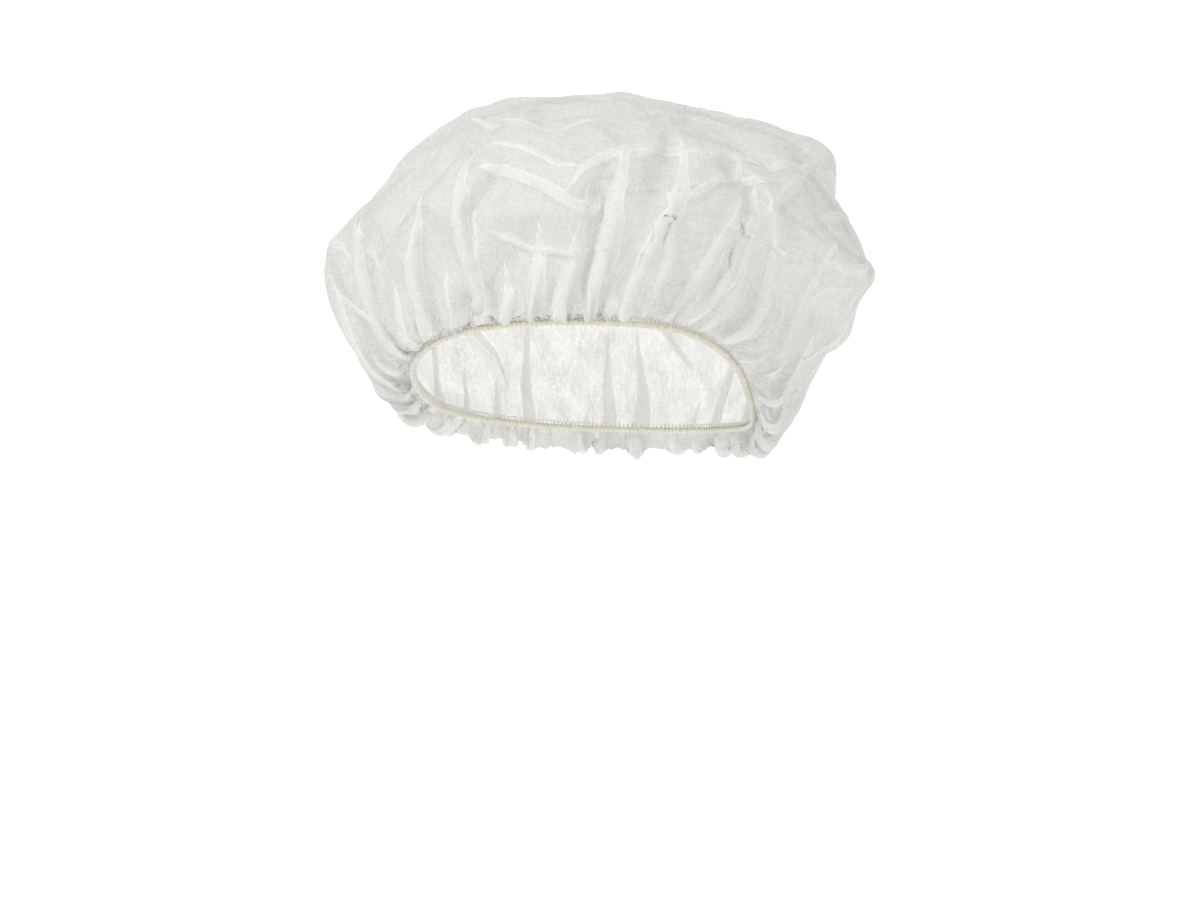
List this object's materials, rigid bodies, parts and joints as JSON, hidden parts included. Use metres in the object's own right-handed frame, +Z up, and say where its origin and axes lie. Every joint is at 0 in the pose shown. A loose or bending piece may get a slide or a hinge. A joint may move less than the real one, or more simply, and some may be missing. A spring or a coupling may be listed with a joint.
{
  "type": "disposable bouffant cap",
  "caption": "Disposable bouffant hair cover in its worn form: a puffed crown of thin white nonwoven fabric gathered onto a stretched elastic band.",
  "frame": {"origin": "middle of the elastic band at the height of the ears, where a head's crown comes up into the cap", "axes": "+Z up through the crown, -Z out of the cap's mouth; the forehead faces -Y and the nape +Y; +X is the wearer's left ear"},
  "size_m": [0.2396, 0.2512, 0.1585],
  "materials": {
    "nonwoven_fabric": "matt, thin and translucent, soft fibrous spunbond",
    "elastic": "matt covered elastic cord, cream"
  },
  "bodies": {
    "root": {"crown": "nonwoven_fabric", "elastic_band": "elastic"}
  },
  "joints": []
}
